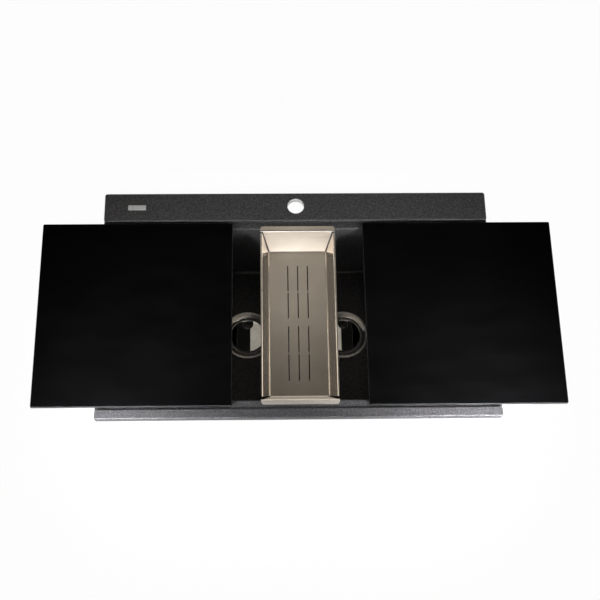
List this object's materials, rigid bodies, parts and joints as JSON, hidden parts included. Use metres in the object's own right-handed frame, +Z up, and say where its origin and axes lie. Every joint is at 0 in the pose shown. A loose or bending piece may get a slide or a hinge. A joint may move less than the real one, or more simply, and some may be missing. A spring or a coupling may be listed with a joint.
{
  "type": "double bowl prep sink",
  "caption": "Black composite double bowl kitchen sink for a worktop cut-out, with sliding black glass boards, a lift-out slotted steel colander tray and strainer wastes.",
  "frame": {"origin": "middle of the sink's plan, on the worktop plane that the rim's seal rests on", "axes": "+X to the right along the sink's length, +Y back to the tap deck, +Z up out of the worktop"},
  "size_m": [1.056, 0.508, 0.4243],
  "materials": {
    "granite_composite": "matt moulded, fine speckle",
    "badge_metal": "satin",
    "seal_foam": "closed-cell foam",
    "clip_steel": "zinc plated",
    "black_glass": "polished, ground edges",
    "glide_silicone": "matt",
    "tray_steel": "brushed along its length",
    "waste_steel": "polished",
    "lid_steel": "polished",
    "basket_steel": "pressed",
    "plug_rubber": "matt",
    "waste_plastic": "moulded",
    "pipe_plastic": "moulded",
    "nut_plastic": "moulded"
  },
  "bodies": {
    "sink": {"sink_basin": "granite_composite", "tap_deck": "granite_composite", "badge_plate": "badge_metal", "rim_seal": "seal_foam", "left_flange_seal": "seal_foam", "right_flange_seal": "seal_foam", "left_body_seal": "seal_foam", "right_body_seal": "seal_foam", "fixing_clips": "clip_steel", "clip_screws": "clip_steel", "left_waste_flange": "waste_steel", "right_waste_flange": "waste_steel", "left_overflow_plate": "waste_steel", "right_overflow_plate": "waste_steel", "left_waste_screws": "basket_steel", "right_waste_screws": "basket_steel", "left_overflow_screw": "basket_steel", "right_overflow_screw": "basket_steel", "left_overflow_seal": "plug_rubber", "right_overflow_seal": "plug_rubber", "left_outlet_washer": "plug_rubber", "right_outlet_washer": "plug_rubber", "left_tee_washer": "plug_rubber", "right_tee_washer": "plug_rubber", "left_waste_body": "waste_plastic", "right_waste_body": "waste_plastic", "left_overflow_elbow": "waste_plastic", "right_overflow_elbow": "waste_plastic", "left_overflow_pipe": "waste_plastic", "right_overflow_pipe": "waste_plastic", "left_link_elbow": "pipe_plastic", "right_link_elbow": "pipe_plastic", "drain_tee": "pipe_plastic", "left_outlet_nut": "nut_plastic", "right_outlet_nut": "nut_plastic", "left_tee_nut": "nut_plastic", "right_tee_nut": "nut_plastic"},
    "left_board": {"left_chopping_board": "black_glass", "left_board_glides": "glide_silicone"},
    "right_board": {"right_chopping_board": "black_glass", "right_board_glides": "glide_silicone"},
    "tray": {"colander_tray": "tray_steel"},
    "left_basket": {"left_strainer_basket": "basket_steel", "left_basket_lid": "lid_steel", "left_basket_plug": "plug_rubber"},
    "right_basket": {"right_strainer_basket": "basket_steel", "right_basket_lid": "lid_steel", "right_basket_plug": "plug_rubber"}
  },
  "joints": [
    {"name": "left_board_slide", "type": "slide", "parent": "sink", "child": "left_board", "axis": [1, 0, 0], "range_m": [-0.06, 0.056]},
    {"name": "right_board_slide", "type": "slide", "parent": "sink", "child": "right_board", "axis": [1, 0, 0], "range_m": [-0.056, 0.06]},
    {"name": "tray_lift", "type": "slide", "parent": "sink", "child": "tray", "axis": [0, 0, 1], "range_m": [0, 0.15]},
    {"name": "left_basket_lift", "type": "slide", "parent": "sink", "child": "left_basket", "axis": [0, 0, 1], "range_m": [0, 0.06]},
    {"name": "right_basket_lift", "type": "slide", "parent": "sink", "child": "right_basket", "axis": [0, 0, 1], "range_m": [0, 0.06]}
  ]
}
